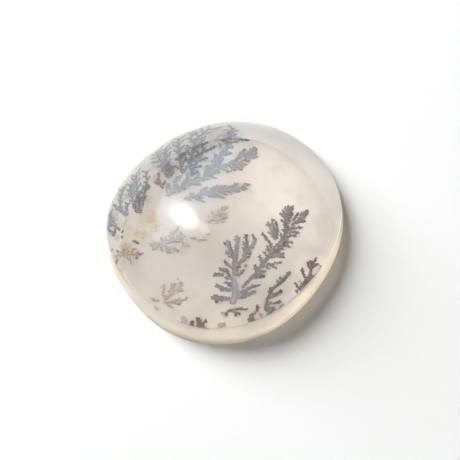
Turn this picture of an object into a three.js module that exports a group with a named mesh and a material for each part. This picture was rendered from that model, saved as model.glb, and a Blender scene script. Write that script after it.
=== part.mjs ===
// A polished cabochon of dendritic quartz: a softly uneven oval with a domed top, an upright girdle
// and a flat ground back. Millimetres, +Z up. The long axis lies along Y, and the origin is the middle
// of the back, where the stone rests.
import * as THREE from 'three';

// Driving dimensions, mm
const halfLength = 12.5;
const halfWidth = 10.85;
const stoneHeight = 7.0;

// The hand-cut outline bulges this much, in so many places round it, the first crest at this angle
const outlineWaves = [
  { lobes: 3, swell: 0.22, crest: 55 },
  { lobes: 4, swell: 0.13, crest: 12 },
];

// The girdle is tallest at the deep side of the stone and leans in a little towards the dome
const girdleMean = 1.5;
const girdleSwing = 1.0;
const girdleSharpness = 0.3;
const deepSide = -50;
const girdleLean = 0.14;

// The eased edges of the girdle, and how round the dome is (sphere radius over rim radius)
const footBevel = 0.14;
const shoulderRadius = 0.3;
const domeRoundness = 1.42;

// How finely the skin is faceted
const stepsRound = 96;
const shoulderSteps = 3;
const domeSteps = 16;

const milkyQuartz = new THREE.MeshStandardMaterial({ color: 0xd8cfc6, roughness: 0.08, metalness: 0 });

const radians = THREE.MathUtils.degToRad;

// Radius of the plain oval at an angle
function ovalRadius(angle) {
  const across = halfLength * Math.cos(angle);
  const along = halfWidth * Math.sin(angle);
  return (halfLength * halfWidth) / Math.hypot(across, along);
}

// How far the hand-cut outline stands out from the oval
function outlineSwell(angle) {
  const swells = outlineWaves.map((wave) => wave.swell * Math.cos(wave.lobes * (angle - radians(wave.crest))));
  return swells.reduce((sum, swell) => sum + swell, 0);
}

// Height of the line where the girdle meets the dome
function girdleHeight(angle) {
  const turn = angle - radians(deepSide);
  return girdleMean + girdleSwing * Math.cos(turn) + girdleSharpness * Math.cos(2 * turn);
}

// Height of a spherical cap above its rim as a share of its rise, from 0 at the rim to 1 on the axis
function capShare(reach) {
  const rimDrop = Math.sqrt(domeRoundness ** 2 - 1);
  return (Math.sqrt(domeRoundness ** 2 - reach ** 2) - rimDrop) / (domeRoundness - rimDrop);
}

// A point of the dome, with reach from 0 on the axis to 1 at the rim. The outline's swells and the
// girdle's uneven height fade out towards the crown, which stays smoothly round.
function domePoint(angle, reach) {
  const rim = ovalRadius(angle) - girdleLean;
  const drop = (stoneHeight - girdleMean) * (1 - capShare(reach));
  const uneven = girdleHeight(angle) - girdleMean;
  return new THREE.Vector2(
    rim * reach + outlineSwell(angle) * reach ** 3,
    stoneHeight - drop + uneven * reach ** 4,
  );
}

// The half section at one angle, as (distance from the axis, height) from the back to the crown
function halfSection(angle) {
  const edge = ovalRadius(angle) + outlineSwell(angle);
  const section = [
    new THREE.Vector2(0, 0),
    new THREE.Vector2(edge - footBevel, 0),
    new THREE.Vector2(edge, footBevel),
  ];

  // The shoulder rounds off the corner between the girdle's wall and the dome
  const corner = domePoint(angle, 1);
  const wallTop = new THREE.Vector2(corner.x, corner.y - shoulderRadius);
  const domeFoot = 1 - shoulderRadius / corner.x;
  const shoulder = new THREE.QuadraticBezierCurve(wallTop, corner, domePoint(angle, domeFoot));
  section.push(...shoulder.getPoints(shoulderSteps));

  for (let step = 1; step < domeSteps; step += 1) {
    section.push(domePoint(angle, domeFoot * (1 - step / domeSteps)));
  }
  section.push(new THREE.Vector2(0, stoneHeight));
  return section;
}

// A lathe lays out the closed skin, then each of its meridians takes the section of its own angle
function stoneGeometry() {
  const rows = halfSection(0).length;
  const skin = new THREE.LatheGeometry(halfSection(0), stepsRound);
  skin.rotateX(Math.PI / 2);
  const position = skin.attributes.position;
  for (let meridian = 0; meridian <= stepsRound; meridian += 1) {
    const widest = meridian * rows + 2;
    const angle = Math.atan2(position.getY(widest), position.getX(widest));
    halfSection(angle).forEach((point, row) => {
      const place = meridian * rows + row;
      position.setXYZ(place, point.x * Math.cos(angle), point.x * Math.sin(angle), point.y);
    });
  }
  return skin;
}

// The origin goes to the middle of the stone's box, on the plane of the back
function centredOnItsBox(geometry) {
  geometry.computeBoundingBox();
  const middle = geometry.boundingBox.getCenter(new THREE.Vector3());
  geometry.translate(-middle.x, -middle.y, 0);
  geometry.computeVertexNormals();
  return geometry;
}

const stone = new THREE.Mesh(centredOnItsBox(stoneGeometry()), milkyQuartz);
stone.name = 'stone';

const cabochon = new THREE.Group();
cabochon.add(stone);

export default cabochon;
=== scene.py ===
import bpy
import numpy as np
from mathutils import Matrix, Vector


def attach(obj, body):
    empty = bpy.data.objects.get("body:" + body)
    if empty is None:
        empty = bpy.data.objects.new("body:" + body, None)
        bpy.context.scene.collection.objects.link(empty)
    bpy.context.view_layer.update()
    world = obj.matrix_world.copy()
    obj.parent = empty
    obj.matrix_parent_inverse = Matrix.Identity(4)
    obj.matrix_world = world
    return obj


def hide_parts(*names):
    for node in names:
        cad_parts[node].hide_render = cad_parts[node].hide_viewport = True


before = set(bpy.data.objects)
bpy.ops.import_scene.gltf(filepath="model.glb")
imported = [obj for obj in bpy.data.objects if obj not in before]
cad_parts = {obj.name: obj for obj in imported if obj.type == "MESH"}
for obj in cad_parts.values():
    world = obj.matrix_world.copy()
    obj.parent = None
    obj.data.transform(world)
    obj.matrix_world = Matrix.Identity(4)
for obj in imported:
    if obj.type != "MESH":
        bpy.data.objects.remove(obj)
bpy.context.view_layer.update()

# %% [markdown]
# The object is one stone: a polished oval of milky quartz with a domed top, an upright girdle and a flat
# ground back. Dark fern-like dendrites lie inside it, close to the back, and are seen through the dome,
# which works as a lens. So the scene needs a skin of clear quartz with the true curve of the dome, a milky
# zone over the back, and the ferns as thin films a little above that zone. The packed model is read in
# first, and each of its parts is set in place and freed from its parent. The packed model gives the box
# that all of this has to stay in.

# %% [markdown]
# All sizes below are the real ones in millimetres. One helper turns arrays of points and faces into a
# smooth mesh in metres, with its place in the mesh, so that the object itself stays at the origin. A
# second one also fixes the mesh to the stone's only body.

# %% From arrays to a piece
MM = 0.001


def put_in_scene(name, points, faces, materials, smooth=True):
    """A mesh object from points in mm and a list of face arrays, one row of corners to a face."""
    mesh = bpy.data.meshes.new(name)
    mesh.from_pydata((points * MM).tolist(), [], [corners for part in faces for corners in part.tolist()])
    mesh.polygons.foreach_set("use_smooth", np.full(len(mesh.polygons), smooth))
    for material in materials:
        mesh.materials.append(material)
    shown = bpy.data.objects.new(name, mesh)
    bpy.context.collection.objects.link(shown)
    return shown


def piece(name, points, faces, materials, smooth=True):
    """The same, riding on the body of the stone."""
    made = put_in_scene(name, points, faces, materials, smooth)
    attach(made, "root")
    print(name, len(points), "points,", sum(len(part) for part in faces), "faces")
    return made


# %% [markdown]
# The skin of a cabochon is a round section turned about the upright axis, but this outline is an oval
# with slight bulges from hand cutting, and the girdle is deeper on one side. So the section is worked
# out anew for each angle. The values are the ones of the part's solid.

# %% Sizes of the stone
half_length, half_width, stone_height = 12.5, 10.85, 7.0
outline_waves = ((3, 0.22, 55), (4, 0.13, 12))
girdle_mean, girdle_swing, girdle_sharpness, deep_side = 1.5, 1.0, 0.3, -50
girdle_lean, foot_bevel, shoulder_radius = 0.14, 0.14, 0.3
dome_roundness = 1.42


def edge_radius(angle):
    """Distance from the axis to the foot of the girdle: the radius of an ellipse, which is its half axes
    multiplied over the length of (long cos, short sin), and a cosine for each set of bulges."""
    oval = half_length * half_width / np.hypot(half_length * np.cos(angle), half_width * np.sin(angle))
    return oval + outline_swell(angle)


def outline_swell(angle):
    """A sum of cosines, one for each set of bulges, counted from its first crest."""
    return sum(swell * np.cos(lobes * (angle - np.radians(crest))) for lobes, swell, crest in outline_waves)


def girdle_unevenness(angle):
    """How far the girdle's top is above its mean: one cosine about the deep side and one twice as fast."""
    turn = angle - np.radians(deep_side)
    return girdle_swing * np.cos(turn) + girdle_sharpness * np.cos(2 * turn)


def cap_share(reach):
    """Height of a spherical cap over its rim as a share of its rise, 0 at the rim and 1 on the axis."""
    rim_drop = np.sqrt(dome_roundness ** 2 - 1)
    return (np.sqrt(dome_roundness ** 2 - reach ** 2) - rim_drop) / (dome_roundness - rim_drop)


def dome_point(angle, reach):
    """Distance from the axis and height of the dome at a reach of 0 on the axis to 1 at the rim: the
    cap over the oval, to which the bulges add with the cube of the reach and the girdle's unevenness
    with its fourth power, so that the crown stays smooth."""
    swell = outline_swell(angle)
    out = (edge_radius(angle) - swell - girdle_lean) * reach + swell * reach ** 3
    drop = (stone_height - girdle_mean) * (1 - cap_share(reach))
    return out, stone_height - drop + girdle_unevenness(angle) * reach ** 4


# %% [markdown]
# Refraction shows every facet of a coarse mesh, so the skin has 240 columns and 93 rows, far finer than
# the faceted solid. The rows run out from the middle of the back, round the eased foot, up the girdle,
# over the rounded shoulder and across the dome. A single point closes the skin at each end.

# %% The section of the stone
columns = 240
back_rows, foot_rows, wall_rows, shoulder_rows, dome_rows = 8, 6, 12, 8, 60


def stone_section(angle):
    """Distance out and height, one row to a ring: straight across the back, a quarter circle at the foot,
    straight up the wall, a quadratic Bezier round the shoulder, whose middle point is the corner of
    wall and dome, and the dome itself. What has no angle in it is spread to all angles by adding zeros."""
    edge = edge_radius(angle)
    level = np.zeros_like(edge)
    share = 1 - (1 - np.linspace(0, 1, back_rows + 1)[1:, None]) ** 2
    back = (edge - foot_bevel) * share, level * share

    turn = np.linspace(0, np.pi / 2, foot_rows + 1)[1:, None]
    foot = edge - foot_bevel * (1 - np.sin(turn)), foot_bevel * (1 - np.cos(turn)) + level

    corner_out, corner_up = dome_point(angle, 1.0)
    wall_top = corner_up - shoulder_radius
    rise = np.linspace(0, 1, wall_rows + 1)[1:, None]
    wall = edge + (corner_out - edge) * rise, foot_bevel + (wall_top - foot_bevel) * rise

    dome_foot = 1 - shoulder_radius / corner_out
    foot_out, foot_up = dome_point(angle, dome_foot)
    along = np.linspace(0, 1, shoulder_rows + 1)[1:, None]
    near, middle, far = (1 - along) ** 2, 2 * along * (1 - along), along ** 2
    shoulder = (near * corner_out + middle * corner_out + far * foot_out,
                near * wall_top + middle * corner_up + far * foot_up)

    inward = dome_foot * (1 - np.linspace(0, 1, dome_rows + 1)[1:-1, None])
    dome = dome_point(angle, inward)
    return [np.concatenate(rows) for rows in zip(back, foot, wall, shoulder, dome)]


# %% [markdown]
# Every closed form in this scene is a stack of rings between two end points: the skin, the milky zone
# and each twig of a fern. So one function lists the faces of such a stack. Going round and up in this
# order makes all faces point outwards.

# %% Faces of a stack of rings
def closed_rings(rows, columns):
    """Quads between neighbouring rings, and a fan of triangles to the point at each end."""
    near = np.arange(columns)
    far = np.roll(near, -1)
    start = 1 + columns * np.arange(rows - 1)[:, None]
    quads = np.stack([start + near, start + far, start + columns + far, start + columns + near], -1)
    last = 1 + columns * (rows - 1)
    first_fan = np.stack([0 * near, 1 + far, 1 + near], -1)
    last_fan = np.stack([last + near, last + far, 0 * near + last + columns], -1)
    return quads.reshape(-1, 4), first_fan, last_fan


def turned(section, angle, first, last):
    """Points of a section turned about the axis: (out cos, out sin, up), between the two end heights."""
    out, up = section
    rings = np.stack([out * np.cos(angle), out * np.sin(angle), up], -1).reshape(-1, 3)
    return np.concatenate([[[0, 0, first]], rings, [[0, 0, last]]])


angles = np.linspace(0, 2 * np.pi, columns, endpoint=False)
skin_section = stone_section(angles)
skin_points = turned(skin_section, angles, 0, stone_height)
box_middle = (skin_points.min(0) + skin_points.max(0)) / 2 * (1, 1, 0)
print("stone, mm:", np.round(np.ptp(skin_points, axis=0), 3), "middle of its outline:", box_middle.round(3))

# %% [markdown]
# A finish is a node material. One small function adds a node with its settings and its links, and one
# turns a colour written as in a paint program into the linear values that the renderer works in. Three
# settings are used again and again, so they get names: mixing two colours, a step with soft ends, and
# multiplying.

# %% Helpers for the finishes
colour_mix = {"data_type": "RGBA"}
soft_step = {"interpolation_type": "SMOOTHSTEP"}
multiply = {"operation": "MULTIPLY"}


def linear(hex_colour):
    """sRGB to linear: a straight foot below 0.04045, and a power of 2.4 above it."""
    srgb = np.array([int(hex_colour[at:at + 2], 16) for at in (1, 3, 5)]) / 255
    return (*np.where(srgb > 0.04045, ((srgb + 0.055) / 1.055) ** 2.4, srgb / 12.92).tolist(), 1.0)


def new_finish(name):
    """A node material with nothing in it yet."""
    finish = bpy.data.materials.new(name)
    finish.use_nodes = True
    finish.node_tree.nodes.clear()
    return finish


def add(finish, kind, settings=None, **sockets):
    """A node of one kind. Settings are its own choices. Each socket, by name or as i and its number, gets
    a value or a link from another node's output."""
    node = finish.node_tree.nodes.new(kind)
    for setting, value in (settings or {}).items():
        setattr(node, setting, value)
    for name, value in sockets.items():
        socket = node.inputs[int(name[1:]) if name[1:].isdigit() else name.replace("_", " ")]
        if isinstance(value, bpy.types.NodeSocket):
            finish.node_tree.links.new(value, socket)
        else:
            socket.default_value = value
    return node


# %% [markdown]
# Milky quartz is clear quartz with a faint haze. Its dome is polished with a fine oxide powder, so it
# is as smooth as glass: a sharp reflection on top, and a clear view in. The girdle and the back are only
# ground, with a much coarser grit, so they are silky and glow with the light from inside. These could be
# two materials on one mesh, but a ray that comes in by one and leaves by the other would then go on
# being darkened outside the stone, because each material keeps its own account of the volume. So it is
# one material, and a value stored at the points says how ground the skin is there. A high transmission
# lets the view through, the rest of plain white is the haze, and the volume warms long ways through.
# The marks of the grit are about 0.05 mm wide, too fine to show, so they are drawn at 0.25 mm.

# %% Milky quartz, polished above and ground below
quartz_index, see_through = 1.54, 0.98
quartz_tint, quartz_density = (0.95, 0.91, 0.84, 1.0), 30.0
polished_roughness, ground_smoothest, ground_roughest = 0.03, 0.72, 0.86
grit_scale, grit_depth, grit_strength = 1 / (0.25 * MM), 0.02 * MM, 0.25
girdle_cloud_scale = 550.0  # clouds of about 2 mm

quartz = new_finish("milky quartz, polished dome and ground girdle")
quartz_place = add(quartz, "ShaderNodeTexCoord").outputs["Object"]
ground_share = add(quartz, "ShaderNodeAttribute", {"attribute_name": "ground_share"}).outputs["Fac"]
grit = add(quartz, "ShaderNodeTexNoise", Vector=quartz_place, Scale=grit_scale, Detail=2.0).outputs["Fac"]
clouds = add(quartz, "ShaderNodeTexNoise", Vector=quartz_place, Scale=girdle_cloud_scale, Detail=3.0)
ground_tone = add(quartz, "ShaderNodeMix", colour_mix, i0=clouds.outputs["Fac"], i6=linear("#fffaf0"),
                  i7=linear("#fdf9f4"))
skin_tone = add(quartz, "ShaderNodeMix", colour_mix, i0=ground_share, i6=linear("#f8f4f0"),
                i7=ground_tone.outputs[2])
matt = add(quartz, "ShaderNodeMapRange", Value=grit, To_Min=ground_smoothest, To_Max=ground_roughest)
roughness = add(quartz, "ShaderNodeMix", {"data_type": "FLOAT"}, i0=ground_share, i2=polished_roughness,
                i3=matt.outputs[0])
bump_share = add(quartz, "ShaderNodeMath", multiply, i0=ground_share, i1=grit_strength)
bumps = add(quartz, "ShaderNodeBump", Strength=bump_share.outputs[0], Distance=grit_depth, Height=grit)
quartz_body = add(quartz, "ShaderNodeBsdfPrincipled", Base_Color=skin_tone.outputs[2],
                  Roughness=roughness.outputs[0], IOR=quartz_index, Transmission_Weight=see_through,
                  Normal=bumps.outputs[0])
quartz_depth = add(quartz, "ShaderNodeVolumeAbsorption", Color=quartz_tint, Density=quartz_density)
add(quartz, "ShaderNodeOutputMaterial", Surface=quartz_body.outputs[0], Volume=quartz_depth.outputs[0])
print(quartz.name, len(quartz.node_tree.nodes), "nodes")

# %% [markdown]
# Over the back the quartz is so full of tiny bubbles that it is milky white and hardly see-through.
# Such a zone is never one even colour. Two patterns make all its tones, and the light and shade painted
# into it: a smooth step across the stone, and a soft round spot.

# %% Patterns for the milky zone
def zone(finish, where, angle, start, stop):
    """A smooth step from 0 to 1 along a direction in the stone's plane, between two distances in mm from
    the middle. Turning the coordinates by the angle makes X run along that direction."""
    turned_place = add(finish, "ShaderNodeMapping", Vector=where, Rotation=(0, 0, -np.radians(angle)))
    along = add(finish, "ShaderNodeSeparateXYZ", Vector=turned_place.outputs[0])
    step = add(finish, "ShaderNodeMapRange", soft_step, Value=along.outputs["X"], From_Min=start * MM,
               From_Max=stop * MM)
    return step.outputs[0]


def spot(finish, where, x, y, inner, outer):
    """1 within the inner distance in mm of a place, 0 past the outer one, and a smooth step between."""
    centre = add(finish, "ShaderNodeMapping", Vector=where, Location=(-x * MM, -y * MM, 0))
    level = add(finish, "ShaderNodeVectorMath", multiply, i0=centre.outputs[0], i1=(1, 1, 0))
    away = add(finish, "ShaderNodeVectorMath", {"operation": "LENGTH"}, i0=level.outputs[0])
    step = add(finish, "ShaderNodeMapRange", soft_step, Value=away.outputs["Value"], From_Min=outer * MM,
               From_Max=inner * MM)
    return step.outputs[0]


# %% [markdown]
# The milky zone is a pinkish grey, with painted shade making it darker in the middle. Toward the left it
# turns a lighter, cooler grey, and toward the front a lighter grey. A warm cream toward the far right is
# painted light, for the light that milky quartz carries through itself to that side. A cool grey at the far
# edge is painted shade. A pale cream by the rim on the deep side and at the front is a painted glow of
# light coming through the stone, seen through the girdle. Faint clouds vary it at random. The steps and
# spots would look drawn with a compass, so a coarse noise first shifts the place they are read at by up to
# a millimetre or so.

# %% Tones of the milky zone, with painted light and shade
drift_scale, drift = 260.0, 2.2 * MM  # patches of about 4 mm
cloud_scale = 420.0  # clouds of about 2.5 mm

milky = new_finish("milky quartz full of fine bubbles")
milky_place = add(milky, "ShaderNodeTexCoord").outputs["Object"]
drifting = add(milky, "ShaderNodeTexNoise", Vector=milky_place, Scale=drift_scale, Detail=2.0)
drifted = add(milky, "ShaderNodeVectorMath", {"operation": "MULTIPLY_ADD"}, i0=drifting.outputs["Color"],
              i1=(drift, drift, 0), i2=milky_place)
where = add(milky, "ShaderNodeVectorMath", {"operation": "SUBTRACT"}, i0=drifted.outputs[0],
            i1=(drift / 2, drift / 2, 0)).outputs[0]

# Darker in the middle: painted shade.
tone_and_painted_light = add(milky, "ShaderNodeMix", colour_mix, i0=spot(milky, where, 0.6, -3.0, 0.5, 4.5),
           i6=linear("#c2bebc"), i7=linear("#b8b4b1"))
# Lighter toward the left and the front; a cream to the far right that is painted light; a grey at the far
# edge that is painted shade; pale creams by the rim on the deep side and at the front that are a painted
# glow.
for angle, start, stop, colour in (
        (215, 1.0, 8.0, "#ceccca"), (-90, 5.0, 10.0, "#d6d1cc"), (38, -1.5, 7.0, "#e2ddda"),
        (102, 5.5, 9.5, "#b9babc"), (-15, 8.1, 10.1, "#fff6e6"), (-88, 10.2, 11.4, "#e9e3d9")):
    tone_and_painted_light = add(milky, "ShaderNodeMix", colour_mix, i0=zone(milky, where, angle, start, stop),
               i6=tone_and_painted_light.outputs[2], i7=linear(colour))
cloudy = add(milky, "ShaderNodeTexNoise", Vector=milky_place, Scale=cloud_scale, Detail=3.0)
cloud_share = add(milky, "ShaderNodeMapRange", soft_step, Value=cloudy.outputs["Fac"], From_Min=0.45,
                  From_Max=0.7, To_Max=0.45)
tone_and_painted_light = add(milky, "ShaderNodeMix", colour_mix, i0=cloud_share.outputs[0], i6=tone_and_painted_light.outputs[2],
           i7=linear("#c2bdba"))

# %% [markdown]
# Ferns that lie too deep in the milky zone to be made out turn it a soft bluish grey at the far left, and
# iron has stained it ochre between the ferns at the left, and once by the front rim. Each is a set of spots
# at listed places. Of spots that overlap the stronger counts, and a fine noise breaks them up and varies
# their colour.

# %% Buried ferns and stains
blotch_scale = 1300.0  # blotches of about 0.8 mm
buried = ((-3.3, 5.3, 0.6, 2.4), (-5.3, 4.3, 0.4, 2.2), (-2.0, 7.6, 0.4, 1.8), (-8.0, 1.2, 0.5, 1.9),
          (-6.7, 0.6, 0.2, 1.3), (-9.3, -1.4, 0.4, 1.4))
stains = ((-5.7, -1.3, 0.3, 1.5), (-6.6, -3.1, 0.3, 1.6), (-7.9, -2.1, 0.1, 0.8), (-8.3, -3.6, 0.1, 0.7),
          (-7.2, -4.8, 0.1, 1.0), (-7.8, -6.9, 0.2, 1.1), (3.4, -8.8, 0.1, 0.7))

blotched = add(milky, "ShaderNodeTexNoise", Vector=milky_place, Scale=blotch_scale, Detail=2.0)
blotches = blotched.outputs["Fac"]
blotch_share = add(milky, "ShaderNodeMapRange", soft_step, Value=blotches, From_Min=0.35, From_Max=0.65,
                   To_Min=0.25)
for places, first, second in ((buried, "#9b9ea4", "#8f9298"), (stains, "#b09f86", "#bfae8e")):
    share = 0.0
    for place in places:
        share = add(milky, "ShaderNodeMath", {"operation": "MAXIMUM"}, i0=share,
                    i1=spot(milky, where, *place)).outputs[0]
    share = add(milky, "ShaderNodeMath", multiply, i0=share, i1=blotch_share.outputs[0])
    hue = add(milky, "ShaderNodeMix", colour_mix, i0=blotches, i6=linear(first), i7=linear(second))
    tone_and_painted_light = add(milky, "ShaderNodeMix", colour_mix, i0=share.outputs[0], i6=tone_and_painted_light.outputs[2],
               i7=hue.outputs[2])
milky_body = add(milky, "ShaderNodeBsdfPrincipled", Base_Color=tone_and_painted_light.outputs[2], Roughness=0.6,
                 IOR=quartz_index)
add(milky, "ShaderNodeOutputMaterial", Surface=milky_body.outputs[0])
print(milky.name, len(milky.node_tree.nodes), "nodes")

# %% [markdown]
# The milky zone is a thin closed slab just inside the back. It could be a flat disc, but a closed form
# with its own edge looks right through the girdle as well. It keeps a small gap to the skin, because
# two surfaces in one place fight each other in a renderer.

# %% The milky zone
zone_inset, zone_floor, zone_top = 0.25, 0.04, 0.45
zone_rows = 5, 7, 39  # across the base, up the edge and across the top


def milky_section(angle):
    """Out along the back, straight up at the edge, and back to the axis on the level of the top."""
    edge = edge_radius(angle) - zone_inset
    level = np.zeros_like(edge)
    outward, rise, inward = (np.linspace(0, 1, rows + 1)[1:, None] for rows in zone_rows)
    base = edge * outward, zone_floor + level * outward
    side = edge + 0 * rise, zone_floor + (zone_top - zone_floor) * rise + level
    top = edge * (1 - inward[:-1]), zone_top + level * inward[:-1]
    return [np.concatenate(rows) for rows in zip(base, side, top)]


milky_rings = milky_section(angles)
milky_points = turned(milky_rings, angles, zone_floor, zone_top) - box_middle
piece("milky_zone", milky_points, closed_rings(len(milky_rings[0]), columns), [milky])

# %% [markdown]
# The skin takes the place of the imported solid. Each of its points gets its share of ground surface: 1 up
# to the top of the girdle's wall, then falling to the 0 of the polish halfway round the shoulder, as the
# polishing felt wears the edge of the ground part a little.

# %% The skin of the stone
skin_rows = len(skin_section[0])
stone = piece("quartz_skin", skin_points - box_middle, closed_rings(skin_rows, columns), [quartz])
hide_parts("stone")
ground_rows = back_rows + foot_rows + wall_rows
row_of_point = np.concatenate([[0], np.repeat(np.arange(skin_rows), columns), [skin_rows]])
how_ground = np.interp(row_of_point, [ground_rows, ground_rows + shoulder_rows // 2], [1.0, 0.0])
stone.data.attributes.new("ground_share", "FLOAT", "POINT").data.foreach_set("value", how_ground)
print("ground part of the skin:", round(how_ground.mean(), 2))

# %% [markdown]
# A dendrite is a film of manganese or iron oxide, far thinner than a hair, that crept into the quartz along
# a crack and branched like a fern. Each frond is a row of short fingers with knobbly edges. A picture of it
# on a plane would be quick, but a piece has no pictures here, and real fingers in the stone shift against
# the back as the view turns. So each finger is a flat closed twig along a given line, with small round
# lobes along both of its sides.

# %% Twigs from centre lines
def twig_tubes(lines, widths, thickness, sides=6):
    """Closed flat twigs along centre lines. lines is (twig, station, xyz) and widths (twig, station). At
    each station but the ends stands an ellipse, as wide as given and so thick, with its wide axis level
    and square to the line; the first and last stations are the points that close the twig."""
    along = np.gradient(lines, axis=1)
    side = np.stack([-along[..., 1], along[..., 0]], -1)
    side /= np.maximum(np.linalg.norm(side, axis=-1, keepdims=True), 1e-9)
    turn = np.linspace(0, 2 * np.pi, sides, endpoint=False)
    level = side[:, 1:-1, None] * (widths[:, 1:-1, None] * np.cos(turn))[..., None] / 2
    height = np.minimum(thickness, widths[:, 1:-1, None]) * np.sin(turn) / 2
    rings = lines[:, 1:-1, None] + np.concatenate([level, height[..., None]], -1)
    points = np.concatenate([lines[:, :1], rings.reshape(len(lines), -1, 3), lines[:, -1:]], 1)
    first = points.shape[1] * np.arange(len(lines))[:, None, None]
    faces = [(part + first).reshape(-1, part.shape[1]) for part in closed_rings(lines.shape[1] - 2, sides)]
    return points.reshape(-1, 3), faces


def stations(count):
    """Shares along a line from 0 to 1, closer together at both ends, by half a turn of a cosine."""
    return 0.5 - 0.5 * np.cos(np.linspace(0, np.pi, count))


def round_ended(length, foot, tip, shares):
    """Width along a twig of this length: a straight run from foot to tip, with a half circle at each end.
    Within half a width of an end, that is the width times the root of 1 less the square of the rest."""
    width = foot + (tip - foot) * shares
    rest = np.clip(1 - 2 * np.minimum(shares, 1 - shares) * length / width, 0, 1)
    return width * np.sqrt(1 - rest ** 2)


line_steps, line_softening, stretch = 40, 12, 0.05


def smooth_line(points, shares):
    """A line through given points: spread evenly along their length, each point but the ends drawn a number
    of times to the middle of its neighbours, then read off at the shares of its length."""
    points = np.asarray(points, float)
    gone = np.concatenate([[0], np.cumsum(np.linalg.norm(np.diff(points, axis=0), axis=1))])
    even = np.linspace(0, gone[-1], line_steps + 1)
    line = np.stack([np.interp(even, gone, points[:, axis]) for axis in (0, 1)], -1)
    for _ in range(line_softening):
        line[1:-1] = line[1:-1] / 2 + (line[:-2] + line[2:]) / 4
    step_numbers = np.arange(line_steps + 1)
    return np.stack([np.interp(shares * line_steps, step_numbers, line[:, axis]) for axis in (0, 1)], -1)


def sideways(line, share):
    """Unit vectors along a line at shares of its length, from a stretch before to a stretch behind, and
    others square to them, left and right by turns."""
    before, behind = (smooth_line(line, np.clip(share + step, 0, 1)) for step in (stretch, -stretch))
    ahead = before - behind
    ahead /= np.linalg.norm(ahead, axis=1, keepdims=True)
    by_turns = np.where(np.arange(len(share)) % 2, 1, -1)[:, None]
    return ahead, np.stack([-ahead[:, 1], ahead[:, 0]], -1) * by_turns


# %% [markdown]
# The lobes are what makes a finger look grown. They sit by turns left and right, lean forward, the more
# so the nearer to the tip, and stand out by up to a tenth of a millimetre past the width set for the
# finger. Its core is a little narrower than that, so light shows between them. A seeded random draw
# varies their size and place, so the ferns are the same at each run.

# %% Lobes along a finger
chance = np.random.default_rng(7)
core_at_foot, core_at_tip, core_edge = 0.62, 0.85, 0.1
lobe_spacing, lobe_reach, lobe_width, full_finger = 0.145, 0.05, 0.16, 0.22
lobe_foot_share, shortest_lobe, full_lobe_from = 0.8, 0.5, 0.25
lean_at_foot, lean_at_tip, lean_spread, lobe_bend = 62, 34, 12, 0.3
place_spread, reach_spread, width_spread = 0.3, (0.3, 2.2), (0.8, 1.25)
finger_stations, lobe_stations = 11, 7


def line_length(points):
    """Length of the straight runs between the points, added up."""
    return np.linalg.norm(np.diff(points, axis=0), axis=1).sum()


def core_width(width, share):
    """A share of the finger's width, or all but an edge of fixed width where the finger is broad."""
    return max(share * width, width - core_edge)


def lobes_along(points, foot, tip):
    """Centre lines and widths of the lobes of one finger. The lobes start on its centre line, at nearly
    even steps, and run out past its edge. Their reach is half the finger's width and a little more, and
    less close to the tip. A finger thinner than a full one has finer lobes."""
    length, fineness = line_length(points), min(1, (foot + tip) / 2 / full_finger)
    count = int(round(length / lobe_spacing))
    share = (np.arange(count) + 0.5 + chance.uniform(-place_spread, place_spread, count)) / max(count, 1)
    start = smooth_line(points, share)
    ahead, aside = sideways(points, share)
    lean = lean_at_foot + (lean_at_tip - lean_at_foot) * share ** 2
    lean = np.radians(lean + chance.uniform(-lean_spread, lean_spread, count))[:, None]
    outward = np.cos(lean) * ahead + np.sin(lean) * aside
    reach = (foot + (tip - foot) * share) / 2 + fineness * lobe_reach * chance.uniform(*reach_spread, count)
    reach *= np.interp((1 - share) * length, (0, full_lobe_from), (shortest_lobe, 1))
    at = stations(lobe_stations)
    run = reach[:, None, None] * at[None, :, None]
    lines = start[:, None] + run * (outward[:, None] + lobe_bend * at[None, :, None] * ahead[:, None])
    widths = fineness * lobe_width * chance.uniform(*width_spread, (count, 1))
    return lines, round_ended(reach[:, None], lobe_foot_share * widths, widths, at[None])


# %% [markdown]
# Where the stone shows the fingers one by one, each is listed on its own. Most fronds of the fans at the
# left are plain feathers, so there only the stem and the reach of its fingers are set.

# %% A whole frond from its stem
finger_lean, finger_lean_spread, finger_bend = 42, 10, 0.06
frond_spread, frond_reaches = 0.25, (0.9, 1.5)
stem_share, finger_tip_share, spacing_share = 1.3, 1.2, 1.8  # in finger widths


def frond(width, foot_reach, tip_reach, line):
    """The stem along a given line, and fingers of this width by turns left and right, nearly two widths
    apart. Each reaches to the side as far as is given for its place or up to half as far again, and bends a
    little to the tip."""
    count = int(line_length(line) / (spacing_share * width))
    share = (np.arange(count) + 0.5 + chance.uniform(-frond_spread, frond_spread, count)) / count
    start = smooth_line(line, share)
    ahead, aside = sideways(line, share)
    lean = np.radians(finger_lean + chance.uniform(-finger_lean_spread, finger_lean_spread, count))[:, None]
    reach = (foot_reach + (tip_reach - foot_reach) * share) * chance.uniform(*frond_reaches, count)
    end = start + reach[:, None] * (aside + ahead / np.tan(lean))
    middle = (start + end) / 2 + finger_bend * reach[:, None] * (aside - ahead)
    places = np.stack([start, middle, end], 1).tolist()
    return [(stem_share * width, stem_share * width, line),
            *((width, finger_tip_share * width, place) for place in places)]


def fronds(width, *stems):
    """The fingers of several fronds, one after the other. Each stem is the reach of its fingers at foot
    and tip, and its line."""
    return [finger for stem in stems for finger in frond(width, *stem)]


# %% [markdown]
# A fern is then all its fingers and lobes in one mesh. They lie on one level, where the film grew, with
# a slight scatter in height, and each group of fingers gets its own film.

# %% A fern from its fingers
fern_level, level_scatter, film_thickness = 0.52, 0.015, 0.03


def finger_core(foot, tip, line):
    """Centre line and widths of one finger without its lobes, as the lobes are given."""
    at = stations(finger_stations)
    ends = core_width(foot, core_at_foot), core_width(tip, core_at_tip)
    return smooth_line(line, at)[None], round_ended(line_length(line), *ends, at)[None]


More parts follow.
